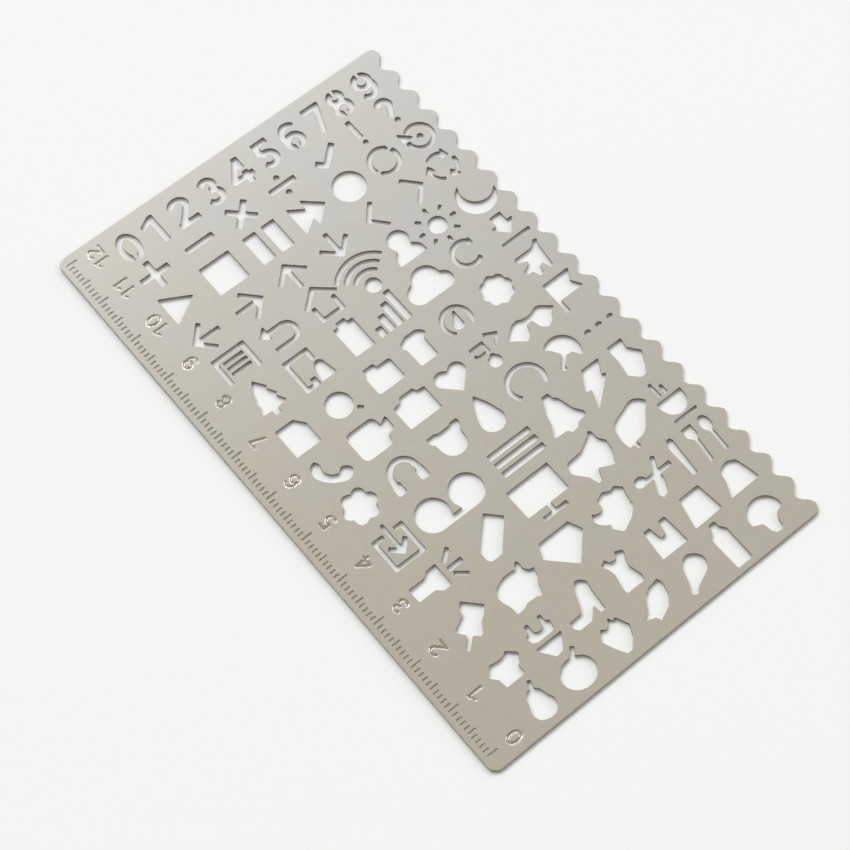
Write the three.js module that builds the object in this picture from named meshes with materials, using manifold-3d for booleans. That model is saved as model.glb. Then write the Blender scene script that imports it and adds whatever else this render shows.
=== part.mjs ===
// Metal drawing template: a thin sheet with rows of cut-through symbols, a wavy edge and an etched scale
import * as THREE from 'three';
import { mergeVertices } from 'three/addons/utils/BufferGeometryUtils.js';
import Module from 'manifold-3d';

// Sheet, in millimetres
const sheetLength = 125;
const sheetWidth = 75;
const sheetThickness = 0.5;
const cornerRadius = 1.9;

// Wavy long edge
const wavePitch = 5.785;
const waveDepth = 1.9;
const waveEndLand = 1.7;

// Margins round the field of symbols
const rulerBand = 9.2;
const waveBand = 0.7;
const footBand = 1.1;
const headBand = 2.7;

// Openings
const lineSlot = 0.95;
const boldSlot = 1.25;
const fineSlot = 0.6;
const bridgeWidth = 0.6;

// Half etched centimetre scale
const etchDepth = 0.2;
const scaleStart = 3.15;
const scaleEndMargin = 1.8;
const tickPitch = 1;
const tickInset = 1.1;
const tickWidth = 0.3;
const shortTick = 1.2;
const middleTick = 1.75;
const longTick = 2.25;
const numeralInset = 6.8;
const numeralHeight = 3.1;
const numeralStroke = 0.5;
const numeralPitch = 2.25;
const numeralLag = 0.3;
const numeralEndMargin = 1.75;

// How far a cutter reaches past a face, and how far a chord may lie off its curve
const cutterReach = 1;
const arcTolerance = 0.06;

// The symbols are drawn in millimetres on the first field, which is then fitted to the second on the sheet
const drawnField = new THREE.Box2(new THREE.Vector2(9.2, 1.1), new THREE.Vector2(72.4, 122.3));
const field = new THREE.Box2(
  new THREE.Vector2(rulerBand, footBand),
  new THREE.Vector2(sheetWidth - waveDepth - waveBand, sheetLength - headBand),
);
const spread = field.getSize(new THREE.Vector2()).divide(drawnField.getSize(new THREE.Vector2()));
const symbolScale = Math.min(spread.x, spread.y);
const line = lineSlot / symbolScale;
const bold = boldSlot / symbolScale;
const fine = fineSlot / symbolScale;
const bridge = bridgeWidth / symbolScale;

const wasm = await Module();
wasm.setup();

// Outlines

const radians = THREE.MathUtils.degToRad;
const toVectors = (points) => points.map(([x, y]) => new THREE.Vector2(x, y));

// Points along an elliptical arc, with as many chords as the tolerance asks for
function arc(x, y, radiusX, radiusY, from, to) {
  const chord = 2 * Math.acos(1 - arcTolerance / Math.max(radiusX, radiusY));
  const count = Math.max(2, Math.ceil(radians(Math.abs(to - from)) / chord));
  const curve = new THREE.EllipseCurve(x, y, radiusX, radiusY, radians(from), radians(to), to < from);
  return curve.getPoints(count).map((point) => [point.x, point.y]);
}

const polygon = (...points) => new THREE.Shape(toVectors(points));

const box = (left, bottom, right, top) =>
  polygon([left, bottom], [right, bottom], [right, top], [left, top]);

const oval = (x, y, radiusX, radiusY) => polygon(...arc(x, y, radiusX, radiusY, 0, 360).slice(1));

const disc = (x, y, radius) => oval(x, y, radius, radius);

const roundBox = (left, bottom, right, top, radius) =>
  polygon(
    ...arc(right - radius, top - radius, radius, radius, 0, 90),
    ...arc(left + radius, top - radius, radius, radius, 90, 180),
    ...arc(left + radius, bottom + radius, radius, radius, 180, 270),
    ...arc(right - radius, bottom + radius, radius, radius, 270, 360),
  );

// Smooth closed outline through a few points
function blob(...points) {
  const through = points.map(([x, y]) => new THREE.Vector3(x, y, 0));
  const curve = new THREE.CatmullRomCurve3(through, true, 'centripetal');
  return polygon(...curve.getPoints(2 * points.length).slice(1).map(({ x, y }) => [x, y]));
}

// Disc whose rim swells into a number of round lobes, with a sharp notch between every two
function lobedDisc(radius, swell, lobes, chordsPerLobe) {
  const outline = Array.from({ length: lobes * chordsPerLobe }, (_, step) => {
    const angle = (2 * Math.PI * step) / (lobes * chordsPerLobe);
    const reach = radius + swell * Math.abs(Math.cos((lobes * angle) / 2));
    return [reach * Math.cos(angle), reach * Math.sin(angle)];
  });
  return polygon(...outline);
}

// Slot of constant width along a line of points, mitred at its turns and square at its ends
function slot(width, ...points) {
  const path = toVectors(points);
  const normals = path.slice(1).map((end, i) => {
    const along = end.clone().sub(path[i]).normalize();
    return new THREE.Vector2(-along.y, along.x);
  });
  const side = path.map((_, i) => {
    const before = normals[Math.max(i - 1, 0)];
    const after = normals[Math.min(i, normals.length - 1)];
    return before.clone().add(after).multiplyScalar(width / 2 / (1 + before.dot(after)));
  });
  const left = path.map((point, i) => point.clone().add(side[i]));
  const right = path.map((point, i) => point.clone().sub(side[i])).reverse();
  return new THREE.Shape([...left, ...right]);
}

const bend = (width, x, y, radiusX, radiusY, from, to) =>
  slot(width, ...arc(x, y, radiusX, radiusY, from, to));

// Closed ring slot, given by the middle of its width
function ring(width, x, y, radiusX, radiusY) {
  const outline = oval(x, y, radiusX + width / 2, radiusY + width / 2);
  outline.holes.push(oval(x, y, radiusX - width / 2, radiusY - width / 2));
  return outline;
}

// Outline with another outline left standing inside it
function around(outline, island) {
  outline.holes.push(island);
  return outline;
}

// A symbol is what is cut away, and what is kept to hold its islands
const symbol = (cut, keep = []) => ({ cut, keep, turn: 0 });
const turned = (drawn, degrees) => ({ ...drawn, turn: drawn.turn + degrees });

// Curved arrow: a bent slot with a triangular head at its far end
function curvedArrow(width, radius, from, to, head) {
  const place = (degrees, reach) => [
    reach * Math.cos(radians(degrees)),
    reach * Math.sin(radians(degrees)),
  ];
  const tip = place(to + (Math.sign(to - from) * THREE.MathUtils.radToDeg(head)) / radius, radius);
  const barbs = [place(to, radius - head * 0.72), place(to, radius + head * 0.72)];
  return [bend(width, 0, 0, radius, radius, from, to), polygon(tip, ...barbs)];
}

// The ten digits in a given stroke; a gap in each closed bowl holds its island
function drawDigits(stroke, gap) {
  const half = stroke / 2;
  const gapAt = (x, bottom, top) => box(x - gap / 2, bottom, x + gap / 2, top);
  const zero = symbol([ring(stroke, 0, 0, 2.27 - half, 3.25 - half)], [gapAt(-0.25, -3.6, 0)]);
  const one = symbol([
    polygon(
      [1 - stroke, -3.25], [1, -3.25], [1, 3.25], [0, 3.25], [-2.3, 2], [-2.3, 2 - 0.9 * stroke],
      [1 - stroke, 2.9 - 0.9 * stroke],
    ),
  ]);
  const two = symbol([
    slot(stroke, ...arc(0, 1.35, 2.22 - half, 1.9 - half, 172, -30), [-1.55, -2.6]),
    box(-2.25, -3.25, 2.25, -3.25 + stroke),
  ]);
  const three = symbol([
    bend(stroke, -0.15, 1.45, 1.88 - half, 1.8 - half, 160, -95),
    bend(stroke, -0.15, -1.2, 2.12 - half, 2.05 - half, 95, -160),
  ]);
  const four = symbol(
    [
      box(-2.45, -2.05, 2.45, -2.05 + stroke),
      box(1.6 - stroke, -3.25, 1.6, 3.25),
      slot(stroke * 0.95, [-1.98, -1.2], [1.07, 2.9]),
    ],
    [box(0, 0.1 - gap / 2, 1.9, 0.1 + gap / 2)],
  );
  const five = symbol([
    box(-1.5, 3.25 - stroke, 1.75, 3.25),
    slot(stroke, [-0.95, 3.25], [-1.15, 0.1]),
    bend(stroke, -0.2, -1.15, 2.17 - half, 2.1 - half, 125, -150),
  ]);
  const six = symbol(
    [
      ring(stroke, 0, -1.15, 2.17 - half, 2.1 - half),
      bend(stroke, 0.2, 0.4, 2.37 - half, 2.85 - half, 205, 38),
    ],
    [gapAt(-0.15, -3.5, -1.15)],
  );
  const seven = symbol([
    polygon(
      [-1.95, 3.25], [1.95, 3.25], [1.95, 2.3], [-0.3, -3.25], [-0.3 - 1.08 * stroke, -3.25],
      [1.8 - 1.04 * stroke, 3.25 - stroke], [-1.95, 3.25 - stroke],
    ),
  ]);
  const eight = symbol(
    [
      ring(stroke, 0, 1.5, 1.88 - half, 1.75 - half),
      ring(stroke, 0, -1.2, 2.12 - half, 2.05 - half),
    ],
    [gapAt(0.1, 1.5, 3.5), gapAt(-0.2, -3.5, -1.2)],
  );
  return [zero, one, two, three, four, five, six, seven, eight, turned(six, 180)];
}

// Sums and marks

const plus = symbol([box(-3.15, -bold / 2, 3.15, bold / 2), box(-bold / 2, -3.15, bold / 2, 3.15)]);

const minus = symbol([box(-3.1, -bold / 2, 3.1, bold / 2)]);

const times = turned(plus, 45);

const divide = symbol([box(-3, -bold / 2, 3, bold / 2), disc(0.1, 2, 0.6), disc(0.1, -1.9, 0.6)]);

const tick = symbol([slot(bold, [-2.65, -0.3], [-1.15, -1.85], [2.65, 1.5])]);

const exclamation = symbol([box(-0.55, -1.3, 0.55, 3.3), disc(0.05, -2.5, 0.55)]);

const question = symbol([
  slot(bold, ...arc(0, 1.6, 1.25, 1.2, 165, -50), [-0.3, -1.3]),
  disc(0.2, -2.45, 0.6),
]);

// Player controls

const play = symbol([polygon([-2.95, 3.35], [2.95, 0], [-2.95, -3.4])]);

const square = symbol([box(-3.35, -3.4, 3.35, 3.4)]);

const pause = symbol([box(-3.6, -3.4, -0.7, 3.4), box(0.7, -3.4, 3.6, 3.4)]);

const fastForward = symbol([
  polygon(
    [-3.45, 3.35], [-0.25, 1.1], [-0.25, 3.4], [3.45, 0], [-0.25, -3.3], [-0.25, -1.2],
    [-3.45, -3.35],
  ),
]);

const fullDisc = symbol([disc(0, -0.2, 3.35)]);

const refresh = symbol([
  ...curvedArrow(line, 2.85, 205, 52, 0.9),
  ...curvedArrow(line, 2.85, 25, -128, 0.9),
]);

const restore = symbol([
  bend(line, 0, 0, 2.65, 2.65, 135, -184),
  polygon([-3.4, 3.1], [-3.4, 0.5], [-0.8, 0.6]),
  disc(0.1, -0.1, 0.65),
]);

// Arrows

const arrowLeft = symbol([
  slot(line, [0.55, 3.1], [-2.4, 0], [0.55, -3.1]),
  box(-2.4, -line / 2, 3.1, line / 2),
]);

const arrowRight = turned(arrowLeft, 180);

const arrowUp = turned(arrowLeft, -90);

const arrowDown = turned(arrowLeft, 90);

const chevronLeft = symbol([slot(line, [1.6, 3.1], [-1.2, 0], [1.6, -3.1])]);

const chevronRight = turned(chevronLeft, 180);

const recycle = symbol(
  [127, 7, -113].flatMap((start) => curvedArrow(line * 0.85, 2.85, start, start - 67, 1.8)),
);

// Screen signs

const list = symbol([
  slot(line, [-3.2, -2.7], [-3.2, 2.95], [3.15, 2.95], [3.15, -2.7]),
  ...[1.5, 0.2, -1.1].map((y) => box(-2.1, y - 0.38, 2.25, y + 0.38)),
]);

const undo = symbol([
  slot(
    line,
    [-2.2, 1.55], [1.1, 1.55], ...arc(1.1, -0.4, 1.95, 1.95, 80, -80), [1.1, -2.35], [-2.7, -2.35],
  ),
  polygon([-3.7, 1.5], [-1.7, 3.35], [-1.7, -0.2]),
]);

const home = symbol([
  slot(line, [-3.5, 0.6], [0, 3.6], [3.5, 0.6]),
  slot(line * 0.9, [-2.25, 0.3], [-2.25, -2.8], [2.2, -2.8], [2.2, 0.3]),
]);

const wireless = symbol([
  disc(0, -2.9, 1.6),
  ...[3.25, 5, 6.75].map((radius) => bend(line, 0, -2.9, radius, radius, 38, 142)),
]);

const user = symbol([
  disc(0, 1.5, 2.2),
  polygon(
    [-3.1, -3.3], [-3, -1.7], [-2.2, -0.7], [-1.3, -0.2], [1.3, -0.2], [2.2, -0.7], [3, -1.7],
    [3.1, -3.3],
  ),
]);

function ray(degrees, near, far, width) {
  const direction = [Math.cos(radians(degrees)), Math.sin(radians(degrees))];
  return slot(width, direction.map((part) => part * near), direction.map((part) => part * far));
}

const sun = symbol([disc(0, 0, 1.9), ...Array.from({ length: 8 }, (_, i) => ray(45 * i, 3.05, 4.3, 0.7))]);

const crescent = symbol([disc(0, -0.3, 4)], [disc(1.2, 1.4, 3.4)]);

// Status signs

const tree = symbol([
  polygon(
    [0, 4.4], [1.7, 1.9], [1.2, 1.8], [2.4, -0.3], [1.7, -0.4], [2.9, -2.4], [0.65, -2.6], [0.65, -3.8],
    [-0.65, -3.8], [-0.65, -2.6], [-2.9, -2.4], [-1.7, -0.4], [-2.4, -0.3], [-1.2, 1.8], [-1.7, 1.9],
  ),
]);

const noticeboard = symbol([
  slot(line, [1.75, 0.75], [1.75, 3.1], [-2.9, 3.1], [-2.9, -3.5], [-1.2, -3.5]),
  box(-1.3, -3.95, -0.15, -2),
  polygon([0.2, -3.75], [0.7, -0.8], ...arc(1.95, -0.75, 1.05, 1.05, 180, 0), [3.6, -3.75]),
]);

const battery = symbol([box(-2.2, -3.8, 2.2, 3), box(-1, 2.8, 1, 3.9)]);

const signalBars = symbol(
  [0, 1, 2, 3].map((bar) => box(-3.6 + 1.93 * bar, -3.75, -2.2 + 1.93 * bar, -1.6 + 1.68 * bar)),
);

const cloud = symbol([
  disc(-2.35, -1.1, 2.35), disc(0.45, 0.4, 3), disc(3.05, -1.55, 1.9), box(-2.35, -3.45, 3.05, -1),
]);

const redo = symbol([...curvedArrow(line, 2.65, 312, 48, 1.3)]);

const download = symbol([
  box(-1.25, 0.6, 1.25, 2.9), polygon([-2.65, 0.8], [2.6, 0.8], [0, -1.95]), box(-3.1, -3.6, 3.4, -2.85),
]);

// Files and travel

const document = symbol([polygon([-2.75, -3.3], [2.75, -3.3], [2.75, 1.1], [1.15, 3.1], [-2.75, 3.1])]);

const magnifier = symbol([disc(-0.3, 0.1, 2.65), slot(fine * 1.2, [2.05, -2.2], [2.9, -3.1])]);

const folder = symbol([
  roundBox(-3, -3, 3, 1.8, 0.6),
  polygon([-2.5, 1], [0.3, 1], [-0.2, 2.7], [-2.5, 2.7]),
]);

const shirt = symbol([
  polygon(
    [-2.8, 1.6], [-2.5, 2.4], [-0.9, 3.2], [1.3, 3.2], [2.4, 2.6], [2.9, 1.7], [1.95, 1], [1.85, -3.3],
    [-2.1, -3.3], [-2.15, 0.8],
  ),
]);

const gauge = symbol([
  bend(line * 0.85, 0, -0.15, 2.85, 2.85, -46, 232),
  polygon([0.5, 1.75], [-1.15, -0.6], ...arc(-0.2, -1, 1.1, 1.1, 160, 380), [0.85, 1.75]),
]);

const rosette = symbol([lobedDisc(2.78, 0.5, 8, 4)]);

const plane = symbol([
  polygon(
    [3.5, 3.5], [2.7, 3.9], [1.9, 3.1], [1.1, 2.7], [-2.5, 2.7], [-3.1, 2], [-0.9, 0.9], [-1.4, 0.3],
    [-2.9, -0.4], [-3.2, -1.1], [-1.6, -1.4], [-1, -2.9], [-0.2, -2.8], [0.3, -1.2], [0.9, -0.8],
    [1.6, -2.7], [2.3, -2.6], [2.7, 0.6], [2.9, 2.2],
  ),
]);

// Leisure

const handset = symbol([
  blob(
    [-1.6, 2.9], [-3, 2], [-3.2, 0.4], [-2, -1.7], [0.1, -3.2], [1.7, -3.6], [2.9, -2.8], [3.2, -1.9],
    [1.7, -0.8], [0.7, -1.5], [-0.6, -0.9], [-1.3, 0.5], [-1, 1.8],
  ),
]);

const videoCamera = symbol([
  roundBox(-4.1, -3.2, 2.4, 3.3, 1.3), polygon([2, 0.9], [4.2, 2], [4.2, -0.8], [2, -1.4]),
]);

const camera = symbol([
  polygon(
    [-3.6, -3.1], [3.6, -3.1], [3.6, 2.1], [2.1, 2.2], [1.6, 3.1], [-1.3, 3.1], [-1.9, 2.2],
    [-3.6, 2],
  ),
]);

const heart = symbol([
  polygon([0, -3.2], ...arc(1.6, 0.85, 1.7, 1.65, -38, 155), ...arc(-1.6, 0.85, 1.7, 1.65, 25, 218)),
]);

const shapes = symbol(
  [
    around(box(-3.6, -0.2, -0.4, 2.4), box(-3.6 + fine, -0.2 + fine, -0.4 - fine, 2.4 - fine)),
    slot(fine, [0.35, 2.1], [0.75, 3.1], [2.65, 2.1], [1.15, 0.35]),
    disc(-1, -2.2, 1.35),
    disc(-0.8, -1.2, 0.6),
  ],
  [box(-3.9, 1.1 - bridge / 2, -2.7, 1.1 + bridge / 2)],
);

const sunglasses = symbol([
  polygon(
    [-6, -0.7], [-4.3, 0.7], [-3.4, 1.3], [-2, 1.6], [-0.9, 1.1], [1, 1.1], [2.2, 1.6], [3.2, 1.4],
    [4.2, 0.6], [5.4, -0.4], [4.4, -0.9], [3.4, -2.3], [1.9, -3.1], [0.8, -2.2], [0.2, -0.1], [-0.9, -0.2],
    [-1.6, -1.9], [-3, -3], [-4.2, -2],
  ),
]);

const flag = symbol([
  polygon([-3.1, 4], [3.1, 4], [1.7, 1.7], [3.1, -0.5], [-2.3, -0.4], [-2.3, -3.2], [-3.1, -3.2]),
]);

// Nature and weather

const flower = symbol([lobedDisc(2.75, 0.82, 6, 6)]);

const headphones = symbol([
  slot(line * 1.2, [-2.7, -1.2], ...arc(0, -0.2, 2.7, 2.9, 180, 0), [2.7, -1.2]),
  roundBox(-3.6, -3.2, -1.75, -0.6, 0.5),
  roundBox(1.6, -3.2, 3.45, -0.6, 0.5),
]);

const pot = symbol([
  polygon(
    [-3.4, 2.4], [-3.3, 1.1], [-2.8, 0.5], ...arc(0, -0.9, 2.65, 2.6, 180, 360), [2.8, 0.5], [3.3, 1.1],
    [3.4, 2.4], [1.9, 2.4], [1.5, 2.05], [-1.1, 2.05], [-1.6, 2.4],
  ),
]);

const drop = symbol([
  polygon([0.25, 3.8], [-1.45, 1.2], ...arc(0, -1.95, 2.45, 2.45, 160, 380), [1.6, 1.2]),
]);

const loop = symbol([bend(line, 0, -0.1, 3.6, 3.3, 222, -42)]);

const umbrella = symbol([
  polygon(...arc(-0.2, 0.1, 3.6, 3.6, 135, -45), [1.3, -0.8], [0, -0.6], [-0.9, 0.6], [-1.6, 1.7]),
  slot(line * 0.9, [0.3, 0.3], [-2.2, -2.1], [-1.9, -2.9]),
]);

const dots = symbol([-2.65, 0, 2.65].map((x) => oval(x, 0.35, 0.7, 0.48)));

// Office

const saveBox = symbol([
  slot(line * 0.9, [-0.95, 1.9], [-3, 1.9], [-3, -4.25], [2.95, -4.25], [2.95, 1.9], [1.35, 1.9]),
  box(-0.3, -2, 0.4, 3.9),
  slot(line, [-1.85, -0.5], [0.05, -2.3], [2, -0.4]),
]);

const reels = symbol([disc(-3.75, -0.45, 3.35), disc(3.85, -0.45, 3.35), box(-3.75, -3.8, 3.85, -2.5)]);

const lines = symbol([1.55, -0.45, -2.5].map((y) => box(-4.8, y - 0.6, 4.7, y + 0.6)));

const bell = symbol([
  polygon(
    [-0.6, 4.7], [0.9, 4.7], [1.1, 3.4], [1.9, 2.4], [2.6, -0.3], [3.7, -1.9], [3.7, -2.8],
    [1.6, -3], [1, -3.7], [-0.5, -3.9], [-1.1, -3.1], [-3.7, -2.9], [-3.6, -2.1], [-2.5, -0.4],
    [-1.9, 2.1], [-1.1, 3.3],
  ),
]);

const bolt = symbol([
  polygon([-0.3, 4.3], [3.7, 4.3], [2, 1.4], [3, 1.2], [-3.1, -3.8], [-1.3, 0.2], [-2.6, 0.5]),
]);

const sock = symbol([
  polygon(
    [-2, 4.7], [1.4, 4.7], [1, 2.7], [2.8, 0.5], [1.6, -1.8], [0.2, -3.6], [-0.9, -3.5], [-2.6, -1.8],
    [-2, 1.4],
  ),
]);

// Household

const torch = symbol([
  polygon(
    [-5.4, 1.4], [-1.9, 1.4], [-0.8, 2.2], [1.2, 2.3], [1.2, -2.5], [-0.5, -2.5], [-1.8, -1.5],
    [-5.3, -1.5],
  ),
  slot(line * 0.9, [2.5, 1.5], [4.8, 3.3]),
  slot(line, [2.3, 0.05], [5.5, 0.05]),
  slot(line * 0.9, [2.6, -1.1], [4.8, -2.9]),
]);

const tag = symbol([polygon([1.3, 4.2], [3.9, 1.5], [-1, -3.7], [-3.2, -3.7], [-3.8, -3], [-3.8, -0.9])]);

const monitor = symbol([
  box(-4.7, -1.6, 4.7, 4.5),
  box(-0.55, -3.3, 0.35, -1.4),
  box(-2.7, -3.9, 2.7, -3.05),
]);

const megaphone = symbol([
  polygon(
    [-3.7, 2], [-0.5, 2.2], [2.2, 3.6], [3, 4.5], [3.6, 4.1], [3.7, 2.4], [4.6, 1.1], [4.3, -0.8],
    [2.9, -3.4], [1.4, -2.8], [0, -2], [-0.9, -4.3], [-1.9, -4.3], [-2.4, -2.5], [-4.4, -0.2], [-4.3, 1],
  ),
]);

const leaf = symbol([
  blob(
    [-3.7, 1.8], [-2.6, 2.8], [-0.1, 3.6], [2.3, 4.2], [4.3, 2.5], [3, 1], [1.1, -1.2], [-0.7, -2.3],
    [-2.6, -2.4], [-4, -2.8], [-4.2, -0.3],
  ),
  slot(line * 0.9, [-3, -2], [-2.5, -3.7]),
]);

const drink = symbol([
  polygon([-2.8, 0.5], ...arc(0, -0.3, 2.8, 3.15, 180, 360), [2.8, 0.5]),
  box(-1.5, 1.25, -0.8, 4.4),
  box(0, 1.25, 0.7, 3.1),
  box(-2.6, -4.5, 2.6, -3.9),
]);

// Desk and table

const pushpin = symbol([
  polygon(
    [0.9, 4], [3.8, 1], [3, 0.1], [1.5, -1], [0.3, -2.9], [-0.3, -3], [-1.4, -2.1], [-3.5, -3.9],
    [-4.1, -3.3], [-2.1, -1.4], [-3.3, 0.1], [-2.5, 0.8], [-0.4, 1.8], [0, 3.3],
  ),
]);

const moneyBox = symbol([
  polygon(
    [-4, 0.5], [-3.3, 1.6], [-2.1, 2.3], [-0.3, 2.7], [1.6, 2.5], [2.5, 3.7], [2.9, 3.1], [2.9, 1.9],
    [3.5, 1], [4.4, 0.8], [4.1, -0.7], [3.2, -1.8], [2.7, -3.5], [2.1, -4.1], [1.3, -3.6], [-0.7, -3.5],
    [-1.6, -3.9], [-3.3, -4], [-3.4, -2.2], [-3.9, -0.8],
  ),
]);

const diamond = symbol([polygon([-3.3, 3.5], [3.4, 3.5], [4.6, 0.8], [0.1, -3.9], [-4.6, 0.8])]);

const palette = symbol([
  polygon(
    [-4.1, 0.4], [-3.6, 1.9], [-2.9, 1.3], [-1.7, 1.2], [-1.1, 1.9], [-1.4, 3], [0.6, 3.8], [1.9, 3.1],
    [3, 3.4], [4.2, 2.3], [3.7, 0.6], [3.4, -1.4], [1.8, -2.9], [-0.6, -4], [-1.3, -4], [-2.7, -2.3],
    [-1.9, -1.7], [-2.9, -1.3], [-3.7, -0.5],
  ),
]);

const scissors = symbol([
  polygon(
    [-2, -2.7], [-1.5, -3.8], [-0.3, -3.5], [0.5, -2.2], [1.1, -0.6], [0.8, 0.1], [2.4, 3.2],
    [1.6, 3.6],
  ),
  oval(-2.9, 0.9, 1.25, 1.05),
  slot(line, [-3.2, 0.4], [3.8, 0.5]),
]);

const knife = symbol([polygon([-0.8, -4], [0.2, -4], [0.9, 3.4], [0.6, 4], [-0.1, 4], [-0.8, 2])]);

const fork = symbol([
  polygon([-1.1, 3.8], [1.1, 3.8], [1.1, 1.7], [0.5, 0.8], [-0.2, 0.8], [-1.1, 1.9]),
  slot(line * 0.8, [0.15, 1.2], [-0.5, -4]),
]);

const spoon = symbol([oval(0, 2.2, 1.1, 1.7), slot(line * 0.8, [0, 1], [-0.35, -4])]);

// Clothes

const tee = symbol([
  polygon(
    [-1.9, 1.8], [-0.5, 1.5], [0.6, 1.5], [1.8, 2.1], [3.5, 0.5], [2.6, -0.9], [2.1, -1.2], [2, -3.1],
    [-2, -3.1], [-2.2, -1.3], [-3.4, 0.1],
  ),
]);

const bikini = symbol([
  polygon(
    [-2.7, 1.5], [-1.8, 1.9], [-1.8, 3.3], [-1, 3.3], [-1, 1.6], [-0.4, 1.1], [0.6, 1.1], [1.1, 1.6],
    [1.1, 3.3], [1.9, 3.3], [1.9, 1.9], [2.6, 1.5], [2.3, 0.1], [1.7, -0.35], [-1.6, -0.35], [-2.5, 0.2],
  ),
  polygon([-3, -1.2], [2.9, -1.2], [0.9, -4.1], [-0.7, -4.3]),
]);

const heelShoe = symbol([
  polygon(
    [-3.7, -1.2], [-0.8, -1.1], [0, 0.4], [0.9, 2.7], [1.9, 4], [2.7, 3.9], [3.7, 2.9], [3.3, 0.7],
    [3, -3.1], [1.9, -3.1], [1.7, -1], [0.8, -2.2], [-0.4, -3.3], [-3, -3.3], [-3.7, -2.5],
  ),
]);

const dress = symbol([
  polygon(
    [-2.6, 3.1], [-1.3, 3.7], [-0.8, 2.7], [0.5, 2.6], [1.1, 3.8], [2.6, 3.1], [1.8, 1.5], [1.4, 0.3],
    [2.1, -2.3], [1.8, -3.4], [-2, -3.4], [-2.2, -2.3], [-1.6, 0.3], [-1.9, 2],
  ),
]);

const tankTop = symbol([
  polygon(
    [-2.9, -2.7], [2.9, -2.7], [2.8, 0.2], [2.6, 3.2], [1.2, 3.2], [0.7, 0.6], [-0.5, 0.5], [-0.9, 3.2],
    [-2.3, 3.2], [-2.6, 0.3],
  ),
]);

const skirt = symbol([polygon([-1.8, 3.9], [2.6, 3.9], [3.2, -1.9], [-3.2, -2.1])]);

const bellSkirt = symbol([
  polygon([-1.4, 3.3], [-0.1, 3.9], [0.9, 4], [2.3, 3.3], [2.9, 1.2], [3.4, -1.7], [-3.3, -1.8], [-1.9, 1]),
]);

// Food

const pear = symbol([
  blob(
    [0, 2.7], [1.4, 1.8], [1.9, 0.2], [2.4, -1.2], [1.4, -3], [-0.2, -3.3], [-1.9, -2.6],
    [-2.4, -1], [-1.8, 0.5], [-1.3, 2],
  ),
  slot(line * 0.8, [0.4, 2.3], [0.9, 4]),
]);

const roundFruit = symbol([oval(0.05, -0.35, 3.4, 2.95), slot(line * 0.9, [0.6, 2], [2.2, 3.9])]);

const strawberry = symbol([
  polygon(
    [-2.9, 1.1], [-2.4, 2.1], [-1.6, 3], [-0.9, 2.3], [0, 2.8], [0.6, 4], [1, 2.9], [1.8, 3.1],
    [2.2, 2.2], [2.9, 0.7], [1.9, -1.4], [0.3, -3.1], [-0.8, -3.1], [-2, -1],
  ),
]);

const fish = symbol([
  polygon(
    [-1.8, 0.6], [-0.5, 2.6], [1, 3.5], [3.2, 3.8], [3.5, 2.7], [3, 0.6], [1.6, -1.1], [-0.4, -2],
    [-1, -2.6], [-1.6, -1.4], [-3.6, -0.6], [-2.6, 0],
  ),
]);

const drumstick = symbol([
  blob(
    [-3.1, -1.6], [-2.4, -0.9], [-1.6, 1.3], [-0.7, 3.1], [0.7, 3.8], [2.3, 3.1], [3.1, 1.6], [2.4, -0.1],
    [0.4, -1.1], [-1.3, -1.9], [-2.1, -2.7], [-2.9, -2.4],
  ),
]);

const bottle = symbol([
  polygon(
    [-1.7, -3.7], [1.7, -3.7], [1.8, 3.2], [0.9, 4.3], [0.9, 5.4], [-0.5, 5.4], [-0.6, 4.3],
    [-1.8, 3],
  ),
]);

const mushroom = symbol([
  polygon(
    ...arc(0, 0.9, 3.45, 3.2, -10, 190), [-1.7, -0.4], [-1.4, -2.3], [-0.8, -3.1], [0.1, -3.2], [0.9, -2.6],
    [1.3, -1], [1.9, -0.2],
  ),
]);

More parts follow.
